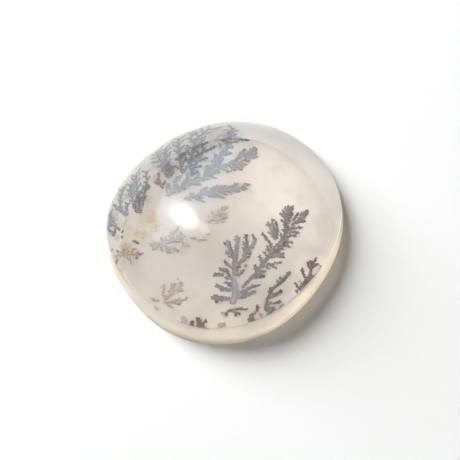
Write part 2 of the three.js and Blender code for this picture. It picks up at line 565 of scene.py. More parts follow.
def fern(name, *groups):
    """One piece from groups of (film, fingers), a finger being its width at foot and tip and its points."""
    start, points_so_far = 0, []
    faces_so_far, film_of_face = [[], [], []], [[], [], []]
    for slot, (film, fingers) in enumerate(groups):
        twigs = [finger_core(*finger) for finger in fingers]
        twigs += [lobes_along(line, foot, tip) for foot, tip, line in fingers]
        for lines, widths in twigs:
            if not len(lines):
                continue
            heights = fern_level + chance.uniform(-level_scatter, level_scatter, len(lines))
            level = np.broadcast_to(heights[:, None, None], (*lines.shape[:2], 1))
            points, faces = twig_tubes(np.concatenate([lines, level], -1), widths, film_thickness)
            points_so_far.append(points)
            for group, part, films in zip(faces_so_far, faces, film_of_face):
                group.append(part + start)
                films.append(np.full(len(part), slot))
            start += len(points)
    made = piece(name, np.concatenate(points_so_far), [np.concatenate(group) for group in faces_so_far],
                 [film for film, _ in groups], smooth=False)
    made.data.polygons.foreach_set("material_index", np.concatenate(sum(film_of_face, [])).astype(np.int32))


# %% [markdown]
# Where the film is thick it is a dark brown, and where it is thin the milky quartz shines through and
# makes it slate blue or grey. Iron oxide is rusty instead. Each film wanders between two such colours
# in patches of about a millimetre. They are dull, with no gloss of their own inside the stone.

# %% Oxide films
patch_scale = 1 / (1.1 * MM)


def oxide_film(name, first, second):
    """A dull film whose colour wanders between two, in patches."""
    film = new_finish(name)
    film_place = add(film, "ShaderNodeTexCoord").outputs["Object"]
    patches = add(film, "ShaderNodeTexNoise", Vector=film_place, Scale=patch_scale, Detail=2.0)
    share = add(film, "ShaderNodeMapRange", soft_step, Value=patches.outputs["Fac"], From_Min=0.38,
                From_Max=0.62)
    colour = add(film, "ShaderNodeMix", colour_mix, i0=share.outputs[0], i6=linear(first),
                 i7=linear(second))
    body = add(film, "ShaderNodeBsdfPrincipled", Base_Color=colour.outputs[2], Roughness=0.8,
               Specular_IOR_Level=0.0)
    add(film, "ShaderNodeOutputMaterial", Surface=body.outputs[0])
    return film


slate = oxide_film("manganese oxide film", "#8a8286", "#8b8d94")
thin = oxide_film("thin manganese oxide film", "#a9a7ac", "#999ba2")
grey = oxide_film("grey manganese oxide film", "#757b85", "#7f848c")
pale = oxide_film("pale manganese oxide film", "#979ba4", "#9c9fa6")
bluish = oxide_film("palest manganese oxide film", "#989ba2", "#96999f")
brown = oxide_film("brown manganese oxide film", "#877f7a", "#807a7f")
dark = oxide_film("thick manganese oxide film", "#7d6f69", "#8c7f78")
rust = oxide_film("iron oxide film", "#b8906a", "#a68d7c")
tan = oxide_film("thin iron oxide film", "#bda78c", "#ab9e91")
veiled = oxide_film("film under milky quartz", "#b9ada7", "#bcb4b0")
half_veiled = oxide_film("film under a little milky quartz", "#b2aeae", "#aaa8a8")
print("materials so far:", len(bpy.data.materials))

# %% [markdown]
# The ferns follow, each as groups of fingers that share a film. A finger is its width at foot and tip
# and the points of its middle line, in mm from the centre of the back. The dome lifts and widens what is
# under it, so the points were set where a line of sight, bent by the skin, meets the level of the film.
# Slate, brown and grey fingers are mixed, as the film's thickness wanders in the stone.
#
# The upright fern has a thick pale trunk and short stout branches, with brown ones among them.

# %% The upright fern
fern("fern_upright",
    (thin, [
        (0.44, 0.32, [(3.05, -8.2), (3.05, -7.75), (3.05, -7.2), (2.9, -6.7), (2.65, -6.15),
            (2.45, -5.55), (2.3, -5.2)]),
        (0.25, 0.24, [(3.4, -7.5), (3.2, -6.85), (2.9, -6.3), (2.65, -5.8)])]),
    (grey, [
        (0.28, 0.48, [(1.6, -3.2), (1.35, -2.8), (1.1, -2.4), (1, -2.15)]),
        (0.24, 0.27, [(1.2, -2.4), (0.9, -2.35), (0.75, -2.4)]),
        (0.29, 0.44, [(1.6, -5.5), (1.2, -5.45), (0.95, -5.5), (0.8, -5.6)]),
        (0.34, 0.41, [(2.65, -2.7), (2.75, -2.35), (2.8, -2.15)]),
        (0.21, 0.32, [(1.8, -5.05), (1.45, -5), (1.2, -4.9), (1.05, -4.9)]),
        (0.23, 0.19, [(4.1, -5.9), (4.4, -5.8), (4.7, -5.65)])]),
    (slate, [
        (0.13, 0.13, [(2.88, -8.2), (2.88, -7.5), (2.73, -6.8), (2.45, -6.1), (2.3, -5.6)]),
        (0.13, 0.13, [(3.22, -8.1), (3.22, -7.3), (3.02, -6.6), (2.8, -6.1)]),
        (0.38, 0.37, [(2.4, -5.35), (2.3, -4.75), (2.1, -4.2), (2, -3.6)]),
        (0.32, 0.29, [(2, -3.7), (1.9, -3.05), (1.8, -2.5), (1.7, -1.95)]),
        (0.28, 0.35, [(1.75, -2.05), (1.65, -1.7), (1.5, -1.45)]),
        (0.35, 0.56, [(2.8, -7.6), (2.35, -7.65), (1.85, -7.75), (1.45, -7.8), (1.3, -7.85)]),
        (0.23, 0.21, [(1.85, -7.85), (1.7, -8.15), (1.7, -8.35)]),
        (0.21, 0.21, [(1.65, -7.7), (1.45, -7.5)]), (0.23, 0.2, [(2.2, -7.8), (2.1, -8.05)]),
        (0.18, 0.17, [(2.1, -7.6), (2.05, -7.45)]),
        (0.32, 0.44, [(2.55, -6.8), (2.15, -6.8), (1.75, -6.7), (1.4, -6.6), (1.25, -6.55)]),
        (0.25, 0.26, [(1.95, -6.8), (1.8, -6.95), (1.75, -7.05)]), (0.2, 0.2, [(2.2, -6.75), (2.05, -6.6)]),
        (0.29, 0.31, [(2.3, -5.65), (2, -5.65), (1.7, -5.6)]),
        (0.37, 0.4, [(1.65, -3.3), (1.35, -3.2), (1.1, -3.2)]),
        (0.26, 0.25, [(1.9, -3.7), (1.7, -3.4), (1.55, -3.1)]),
        (0.17, 0.2, [(1.65, -2), (1.45, -1.85), (1.35, -1.85)]),
        (0.31, 0.43, [(2.3, -4.05), (2.45, -3.9), (2.6, -3.65), (2.65, -3.4)]),
        (0.37, 0.31, [(2.65, -3.55), (2.65, -3.1), (2.6, -2.75), (2.55, -2.45)]),
        (0.19, 0.25, [(2.55, -2.25), (2.3, -2.05), (2.15, -1.85)]),
        (0.35, 0.26, [(2.8, -2.25), (2.95, -2), (2.95, -1.75), (3, -1.5)]),
        (0.21, 0.21, [(2.95, -2.25), (3.1, -2.2)]), (0.19, 0.19, [(2.95, -1.55), (3, -1.35), (3, -1.2)]),
        (0.23, 0.25, [(2.9, -4.2), (3.05, -3.95)]),
        (0.31, 0.32, [(3.3, -6.75), (3.65, -6.55), (3.9, -6.25), (4.05, -6), (4.25, -5.8)]),
        (0.38, 0.32, [(3.45, -7.35), (3.75, -7.15), (4.05, -6.85), (4.3, -6.6), (4.55, -6.3)]),
        (0.32, 0.28, [(3.5, -6.95), (3.7, -6.7), (3.9, -6.6)])]),
    (brown, [
        (0.2, 0.28, [(2.5, -6.5), (2.3, -6.25), (2.1, -6.1), (1.85, -6.1)]),
        (0.19, 0.22, [(2.2, -5.6), (1.95, -5.25), (1.7, -4.95), (1.55, -4.7)]),
        (0.17, 0.32, [(2.1, -4.65), (1.75, -4.4), (1.45, -4.2), (1.2, -4.05)]),
        (0.17, 0.17, [(1.8, -3.6), (1.6, -3.55), (1.4, -3.5)]),
        (0.22, 0.21, [(2.55, -2.55), (2.5, -2.1), (2.45, -1.8), (2.3, -1.55)]),
        (0.19, 0.24, [(2.35, -1.7), (2.2, -1.4), (2.15, -1.2), (2.25, -1.1)]),
        (0.17, 0.19, [(2.6, -2.8), (2.4, -2.55), (2.25, -2.4)]),
        (0.22, 0.23, [(2.75, -2.95), (2.9, -2.85), (3.05, -2.75)]),
        (0.2, 0.21, [(2.8, -3.25), (3, -3.15), (3.1, -3.1)]),
        (0.21, 0.21, [(3, -1.6), (2.85, -1.3), (2.7, -1.1), (2.6, -1)]),
        (0.22, 0.25, [(2.65, -5.25), (2.8, -4.95), (2.9, -4.7), (3, -4.45)]),
        (0.16, 0.18, [(2.55, -4.45), (2.6, -4.2)]),
        (0.16, 0.17, [(2.45, -4.85), (2.45, -4.45), (2.45, -4.15), (2.45, -3.95)])]))

# %% [markdown]
# The slanting fern starts from the same foot and is the longest. Its branches leave the stem at about 45
# degrees, and it splits in three near the tip.

# %% The slanting fern
fern("fern_slanting",
    (slate, [
        (0.24, 0.31, [(3.3, -6.3), (3.5, -5.9), (3.65, -5.5), (3.8, -5), (4, -4.6)]),
        (0.32, 0.38, [(3.95, -4.65), (4.1, -4.15), (4.25, -3.65), (4.35, -3.2)]),
        (0.29, 0.29, [(4.35, -3.25), (4.5, -2.75), (4.6, -2.25), (4.65, -1.85)]),
        (0.26, 0.26, [(4.65, -1.95), (4.8, -1.45), (5, -1.05), (5.1, -0.65)]),
        (0.39, 0.36, [(4.35, -3.65), (4.15, -3.3), (4, -3.1)]),
        (0.23, 0.27, [(4.4, -3.45), (4.35, -3.2), (4.3, -3.05)]),
        (0.16, 0.16, [(4.4, -2.3), (4.2, -2.1), (4.05, -2)]),
        (0.24, 0.31, [(4.15, -1.35), (3.85, -1.1), (3.6, -0.9)]),
        (0.22, 0.25, [(4.4, -0.95), (4.15, -0.45), (3.95, -0.1), (3.75, 0.1)]),
        (0.34, 0.47, [(3.8, 0.1), (3.6, 0.25), (3.4, 0.35)]),
        (0.21, 0.22, [(4.45, -0.85), (4.2, -0.2), (3.95, 0.3), (3.75, 0.6)]),
        (0.19, 0.33, [(5.1, 0.8), (4.75, 1.2), (4.45, 1.5), (4.15, 1.6)]),
        (0.17, 0.2, [(5.1, 1.05), (4.8, 1.5), (4.5, 1.75), (4.2, 2)]),
        (0.21, 0.23, [(5.15, 1), (4.95, 1.45), (4.7, 1.9), (4.5, 2.2), (4.35, 2.35)]),
        (0.24, 0.31, [(4.85, 1.85), (4.7, 2.25), (4.55, 2.55)]),
        (0.26, 0.28, [(4, -4.55), (4.3, -4.6), (4.55, -4.5)]),
        (0.24, 0.26, [(4.35, -3.65), (4.65, -3.75), (4.95, -3.85)]),
        (0.27, 0.27, [(4.5, -3.5), (4.8, -3.45), (5.05, -3.3)]),
        (0.24, 0.24, [(5, -3.35), (5.25, -3.15), (5.55, -3.05), (5.75, -2.95)]),
        (0.23, 0.24, [(4.85, -3.5), (5.15, -3.55), (5.4, -3.65), (5.55, -3.65)]),
        (0.34, 0.32, [(4.55, -2.75), (4.85, -2.55), (5.15, -2.4)]),
        (0.24, 0.26, [(5.1, -2.4), (5.35, -2.2), (5.65, -2.05)]),
        (0.22, 0.23, [(5.15, -2.45), (5.5, -2.45), (5.8, -2.4)]),
        (0.28, 0.26, [(5.2, -0.55), (5.45, -0.35), (5.75, -0.1)]),
        (0.24, 0.24, [(5.35, -0.05), (5.55, 0.2), (5.9, 0.3), (6.3, 0.35)]),
        (0.29, 0.26, [(5.3, 0.35), (5.5, 0.55), (5.75, 0.7)]),
        (0.23, 0.27, [(5.75, 0.7), (6, 0.8), (6.3, 0.9)]),
        (0.24, 0.28, [(5.35, 0.8), (5.55, 1.1), (5.85, 1.4)]),
        (0.26, 0.3, [(5.8, 1.35), (6.1, 1.5), (6.45, 1.65)]),
        (0.29, 0.42, [(5.75, 1.3), (5.95, 1.7), (6.1, 2.1)]),
        (0.24, 0.28, [(6.05, 1.8), (5.9, 2.1), (5.9, 2.35)])]),
    (brown, [
        (0.26, 0.29, [(5.1, -0.75), (5.2, -0.25), (5.2, 0.15), (5.2, 0.6)]),
        (0.23, 0.29, [(4.05, -4.45), (3.85, -4.15), (3.75, -3.9), (3.7, -3.75)]),
        (0.28, 0.21, [(4.05, -3.2), (3.85, -2.95), (3.75, -2.8)]), (0.19, 0.23, [(4.5, -3), (4.35, -2.85)]),
        (0.19, 0.24, [(4.35, -2.75), (4.15, -2.5), (3.95, -2.35)]),
        (0.17, 0.2, [(4.4, -2.15), (4.2, -1.9), (4, -1.7)]),
        (0.21, 0.23, [(4.45, -1.9), (4.3, -1.5), (4.1, -1.25)]),
        (0.24, 0.22, [(3.65, -0.95), (3.45, -0.75), (3.3, -0.6)]),
        (0.17, 0.21, [(4.05, -0.6), (3.85, -0.45), (3.75, -0.4)]),
        (0.19, 0.27, [(3.8, 0.6), (3.75, 0.8), (3.7, 0.9)]),
        (0.22, 0.25, [(4.6, -0.9), (4.45, -0.35), (4.35, 0.15)]),
        (0.17, 0.21, [(4.35, 0.1), (4.2, 0.45), (4.05, 0.75)]),
        (0.17, 0.2, [(5.1, -0.9), (4.9, -0.5), (4.75, -0.15)]),
        (0.2, 0.23, [(5.25, -0.05), (5, 0.1), (4.75, 0.2)]),
        (0.2, 0.21, [(5.15, 0.3), (4.95, 0.5), (4.7, 0.7)]), (0.2, 0.2, [(5.25, 0.15), (5.05, 0.25)]),
        (0.17, 0.19, [(5.05, 1.45), (5.1, 1.8), (5.15, 2.05)]),
        (0.22, 0.22, [(4.15, -4.35), (4.4, -4.3), (4.7, -4.2)]),
        (0.2, 0.2, [(4.7, -2.3), (4.95, -2.1), (5.25, -1.95)]),
        (0.22, 0.2, [(4.75, -1.95), (5.05, -1.75), (5.45, -1.65)]),
        (0.26, 0.24, [(4.85, -1.55), (5.15, -1.4), (5.45, -1.25)]),
        (0.21, 0.23, [(5.4, -1.3), (5.7, -1.25), (5.95, -1.3)]),
        (0.2, 0.23, [(5.15, -1.25), (5.35, -0.95), (5.55, -0.65)]),
        (0.23, 0.28, [(5.45, -1.1), (5.65, -0.9), (5.85, -0.75), (6.05, -0.8)]),
        (0.24, 0.24, [(5.7, -0.15), (5.95, -0.05), (6.15, -0.1)]),
        (0.17, 0.22, [(5.35, 1.25), (5.45, 1.65), (5.55, 2), (5.6, 2.2)])]),
    (grey, [
        (0.29, 0.21, [(4.55, -1), (4.45, -0.65), (4.3, -0.2)]),
        (0.24, 0.28, [(5.2, -0.8), (5.15, -0.5), (5.05, -0.25)]),
        (0.21, 0.3, [(5.15, 0.5), (4.9, 0.8), (4.6, 0.95), (4.4, 1.05)]),
        (0.27, 0.27, [(4.95, 1.6), (4.9, 2.1), (4.9, 2.45), (4.95, 2.65)]),
        (0.36, 0.28, [(3.95, -4.95), (4.2, -4.9), (4.5, -4.8), (4.8, -4.65)]),
        (0.39, 0.29, [(6.1, 2.05), (6.2, 2.45), (6.3, 2.75)])]))

# %% [markdown]
# Two smaller ferns stand at the lower right, where the film is thickest and darkest. The second one runs
# up to the rim of the dome, where the shoulder bends the view and hides what lies beyond.

# %% The dark fern by the lower edge
fern("fern_low_right",
    (brown, [
        (0.25, 0.33, [(6.4, -4.8), (6.5, -4.5), (6.6, -4.1), (6.7, -3.7)]),
        (0.28, 0.25, [(5.75, -5.9), (5.9, -5.6), (6.1, -5.3), (6.4, -4.85)]),
        (0.25, 0.3, [(5.75, -6.9), (5.6, -6.8)]), (0.2, 0.28, [(6.35, -7.15), (6.65, -7), (6.9, -6.75)]),
        (0.25, 0.28, [(4.95, -9.3), (4.75, -9.2)])]),
    (slate, [
        (0.28, 0.43, [(6.35, -4.85), (6.15, -4.95), (5.95, -4.85)]),
        (0.2, 0.3, [(6.3, -4.8), (6.15, -4.55), (6.05, -4.4)]),
        (0.25, 0.25, [(5.75, -7.2), (5.75, -6.8), (5.75, -6.35)]),
        (0.2, 0.25, [(5.8, -6.75), (6.1, -6.55), (6.35, -6.3)]),
        (0.52, 0.34, [(5.95, -8.1), (5.95, -7.65), (5.8, -7.2)]),
        (0.22, 0.25, [(5.9, -7.4), (6.1, -7.2), (6.4, -7.15)]),
        (0.25, 0.33, [(6.05, -7.85), (6.25, -7.7), (6.6, -7.5)])]),
    (dark, [
        (0.33, 0.47, [(5.8, -6.35), (5.75, -6), (5.7, -5.7)]),
        (0.25, 0.43, [(5.95, -6.35), (6.3, -6.15), (6.5, -5.95), (6.6, -5.7)]),
        (0.33, 0.43, [(5, -9.55), (4.95, -9.15), (4.95, -8.7)]), (0.25, 0.3, [(5.1, -9.1), (5.3, -9.1)]),
        (0.2, 0.3, [(5.25, -8.4), (5.2, -8.05), (5.1, -7.7)])]),
    (rust, [
        (0.25, 0.28, [(4.95, -8.75), (5.05, -8.55), (5.25, -8.45)])]),
    (half_veiled, [
        (0.22, 0.33, [(5.5, -8.35), (5.75, -8.5)])]))

# %% The dark fern by the rim
fern("fern_at_rim",
    (dark, [
        (0.25, 0.3, [(8.05, -5.38), (8.15, -5.03), (8.25, -4.68), (8.35, -4.28), (8.35, -3.98)]),
        (0.3, 0.35, [(8.5, -3.08), (8.45, -2.63), (8.4, -2.33)]),
        (0.22, 0.28, [(8.4, -2.48), (8.3, -2.18), (8.15, -1.98)]),
        (0.2, 0.28, [(8.4, -2.83), (8.2, -2.63), (8.05, -2.43), (8, -2.18)]),
        (0.2, 0.25, [(8.55, -3.88), (8.8, -3.63), (8.95, -3.23), (9.15, -2.68)])]),
    (slate, [
        (0.28, 0.3, [(8.35, -4.03), (8.45, -3.73), (8.55, -3.43), (8.55, -3.03)]),
        (0.2, 0.25, [(8.55, -2.68), (8.7, -2.33), (8.95, -2.03)])]),
    (brown, [
        (0.22, 0.28, [(8.4, -2.28), (8.55, -1.93), (8.6, -1.53)]),
        (0.2, 0.25, [(8.05, -5.33), (7.8, -5.33)]),
        (0.22, 0.28, [(8.3, -3.93), (8.05, -3.58), (7.75, -3.23), (7.7, -2.98)]),
        (0.2, 0.25, [(8.1, -5.03), (7.8, -4.83), (7.5, -4.58)])]),
    (half_veiled, [
        (0.18, 0.2, [(8.15, -4.78), (8.05, -4.43), (7.8, -4.23)])]))

# %% [markdown]
# Along the lower edge the film is broken into crumbs of rust, brown and near black. They are short and
# wide fingers without a stem.

# %% Rusty sprigs along the lower edge
fern("sprigs_rust",
    (rust, [
        (0.26, 0.31, [(3.25, -8.5), (3.35, -8.7), (3.45, -8.9)]),
        (0.15, 0.18, [(3.25, -8.7), (3.2, -8.95)])]),
    (brown, [
        (0.2, 0.22, [(3.2, -8.65), (2.95, -8.8), (2.85, -9)]),
        (0.22, 0.31, [(2.8, -9), (2.85, -9.2), (2.9, -9.4)]),
        (0.18, 0.22, [(3.6, -8.85), (3.85, -8.9), (4, -9.05)]),
        (0.18, 0.24, [(3.4, -8.5), (3.65, -8.45), (3.95, -8.45)]),
        (0.2, 0.24, [(3.9, -8.4), (4.2, -8.4), (4.45, -8.25)]), (0.15, 0.2, [(3.85, -8.4), (3.95, -8.2)]),
        (0.3, 0.33, [(1.1, -10.8), (1.3, -10.5), (1.4, -10.25)])]),
    (veiled, [
        (0.18, 0.22, [(2.75, -9.15), (2.5, -9.2), (2.35, -9.15)]),
        (0.37, 0.42, [(2.4, -10.45), (2.7, -10.4), (3.05, -10.25)]),
        (0.33, 0.32, [(1.65, -11), (1.95, -10.9), (2.2, -10.75)]),
        (0.48, 0.57, [(0, -11.15), (-0.35, -10.8), (-0.65, -10.45)]),
        (0.33, 0.33, [(-0.8, -11), (-1.15, -11)])]),
    (dark, [
        (0.18, 0.29, [(3.5, -8.9), (3.65, -9.1), (3.7, -9.25)]),
        (0.47, 0.5, [(0.2, -11.15), (0.6, -11.15), (1, -11)]),
        (0.41, 0.47, [(1.05, -10.95), (0.85, -10.55), (0.6, -10.2)]),
        (0.28, 0.33, [(0.2, -11.05), (0.25, -10.75), (0.35, -10.6)])]))

# %% [markdown]
# Two pale ferns lie a little deeper, under milky quartz that takes most of their colour. They could be
# dark ones under a haze, but a paler film on the same level gives the eye the same and stays sharp.

# %% The pale fern under the haze
fern("fern_veiled",
    (veiled, [
        (0.34, 0.34, [(-2.6, -9.05), (-2.3, -8.5), (-2, -8.05), (-1.75, -7.7)]),
        (0.33, 0.34, [(-1.8, -7.8), (-1.6, -7.45), (-1.55, -7.2)]),
        (0.23, 0.23, [(-1.55, -7.3), (-1.6, -7.05), (-1.6, -6.85)]),
        (0.21, 0.2, [(-2, -8), (-2.2, -7.65), (-2.35, -7.2)]),
        (0.2, 0.2, [(-1.9, -7.85), (-2, -7.5), (-2, -7.1)]),
        (0.19, 0.2, [(-1.5, -7.35), (-1.4, -7.1), (-1.4, -6.9)]),
        (0.26, 0.24, [(-1.65, -7.75), (-1.45, -7.8), (-1.25, -7.7)]),
        (0.27, 0.25, [(-2.15, -8.05), (-2.4, -8.05)]), (0.2, 0.23, [(-1.9, -6.8), (-1.95, -6.6)]),
        (0.21, 0.23, [(-2.75, -8.75), (-2.85, -8.25), (-2.9, -7.9)]),
        (0.23, 0.21, [(-2.85, -7.95), (-2.9, -7.65), (-2.9, -7.45)]),
        (0.21, 0.21, [(-2.9, -7.95), (-3.1, -7.85)]),
        (0.29, 0.29, [(-2.65, -9.4), (-2.2, -9.2), (-1.8, -9), (-1.4, -8.8)]),
        (0.27, 0.32, [(-2.25, -9.45), (-1.95, -9.55), (-1.7, -9.7)]),
        (0.25, 0.3, [(-2.95, -9.3), (-3.4, -9.35), (-3.75, -9.15)]),
        (0.36, 0.37, [(-3.35, -9.9), (-3.15, -10.05), (-2.95, -10.3)]),
        (0.26, 0.3, [(-2.7, -10.7), (-2.55, -10.8)]), (0.23, 0.25, [(-2.1, -10.85), (-1.95, -10.95)])]),
    (half_veiled, [
        (0.29, 0.33, [(-1.45, -8.85), (-1.2, -8.7), (-0.9, -8.65)]),
        (0.23, 0.21, [(-0.9, -8.7), (-0.8, -8.5), (-0.75, -8.3)]),
        (0.22, 0.22, [(-1.2, -8.65), (-1.4, -8.6)]),
        (0.25, 0.33, [(-1.75, -9.2), (-1.5, -9.1), (-1.2, -9.2)])]))

# %% The grey ferns in the middle
fern("ferns_middle",
    (half_veiled, [
        (0.26, 0.29, [(-4.4, -3.55), (-4.5, -3.95), (-4.5, -4.35)]),
        (0.2, 0.22, [(-4.35, -3.65), (-4.25, -4.1)]), (0.26, 0.26, [(-4.6, -3.7), (-4.85, -3.9)]),
        (0.21, 0.21, [(-4.5, -3.6), (-4.7, -3.4)]),
        (0.22, 0.23, [(-4.1, -3.75), (-3.85, -4), (-3.7, -4.25)]),
        (0.25, 0.31, [(-3.6, -3.6), (-3.35, -3.95), (-3.15, -4.3)]), (0.22, 0.24, [(-3.2, -3.8), (-3, -4)]),
        (0.22, 0.24, [(-2.95, -3.75), (-2.75, -4.2)]),
        (0.29, 0.28, [(-3.35, -3.85), (-2.9, -3.85), (-2.6, -3.85), (-2.4, -4)]),
        (0.28, 0.26, [(-4.75, -3.75), (-4.25, -3.6), (-3.8, -3.55), (-3.45, -3.3), (-3.1, -3.1)]),
        (0.22, 0.23, [(-3.85, -3.4), (-4.1, -3)]), (0.21, 0.23, [(-3.55, -3.25), (-3.75, -2.9)]),
        (0.31, 0.25, [(-3.05, -3.15), (-2.85, -2.8), (-2.65, -2.45), (-2.65, -2.15)]),
        (0.23, 0.24, [(-2.75, -2.85), (-2.5, -2.6), (-2.2, -2.45)]),
        (0.29, 0.3, [(-2.95, -3.05), (-2.55, -3), (-2.25, -3.05), (-1.85, -3.15)]),
        (0.21, 0.23, [(-2.25, -3.15), (-2.1, -3.4)]), (0.24, 0.26, [(-2, -3.15), (-1.8, -3.3)]),
        (0.22, 0.31, [(-1.25, -2.7), (-1.1, -2.5), (-0.9, -2.35), (-0.7, -2.3)]),
        (0.22, 0.26, [(-0.8, -1.9), (-0.7, -1.75), (-0.55, -1.75)]),
        (0.24, 0.28, [(-0.7, -0.3), (-0.55, 0.15), (-0.3, 0.5), (-0.1, 0.8), (0.15, 1)]),
        (0.22, 0.25, [(-0.5, 0), (-0.25, 0.2), (0.15, 0.4)]),
        (0.23, 0.25, [(-0.6, -0.3), (-0.35, -0.3), (-0.1, -0.35), (0.2, -0.4)]),
        (0.2, 0.21, [(-0.25, 0.35), (-0.1, 0.6), (0.1, 0.75)]),
        (0.22, 0.28, [(-0.2, -0.3), (0, -0.05), (0.35, 0.1)])]),
    (veiled, [
        (0.37, 0.4, [(-3.25, -3.05), (-3.3, -2.65), (-3.35, -2.2)]),
        (0.24, 0.23, [(-3.2, -2.3), (-3.05, -1.9), (-2.95, -1.65)]),
        (0.22, 0.24, [(-4.8, -1.8), (-4.55, -2)]), (0.22, 0.24, [(-4.4, -1.75), (-4.25, -1.65)]),
        (0.21, 0.21, [(-4.75, -2.35), (-4.55, -2.45)]), (0.2, 0.2, [(-1.9, -2.45), (-1.45, -2.4)]),
        (0.21, 0.24, [(-0.9, -0.8), (-0.8, -0.55), (-0.65, -0.3), (-0.45, -0.1)]),
        (0.22, 0.28, [(-0.5, 0), (-0.75, 0.15), (-0.9, 0.15)]),
        (0.18, 0.18, [(-0.85, -0.5), (-0.95, -0.75)]), (0.18, 0.18, [(-0.9, -0.25), (-1.1, -0.25)]),
        (0.18, 0.2, [(-0.45, -0.55), (-0.2, -0.65)])]))

# %% [markdown]
# The fan at the upper left is made of long blue-grey fronds that spread from one foot. The two in front
# show their fingers, so these are set one by one. The ones behind are feathers.

# %% The long fronds of the fan
fan_finger, edge_finger, sprig_finger = 0.2, 0.17, 0.13

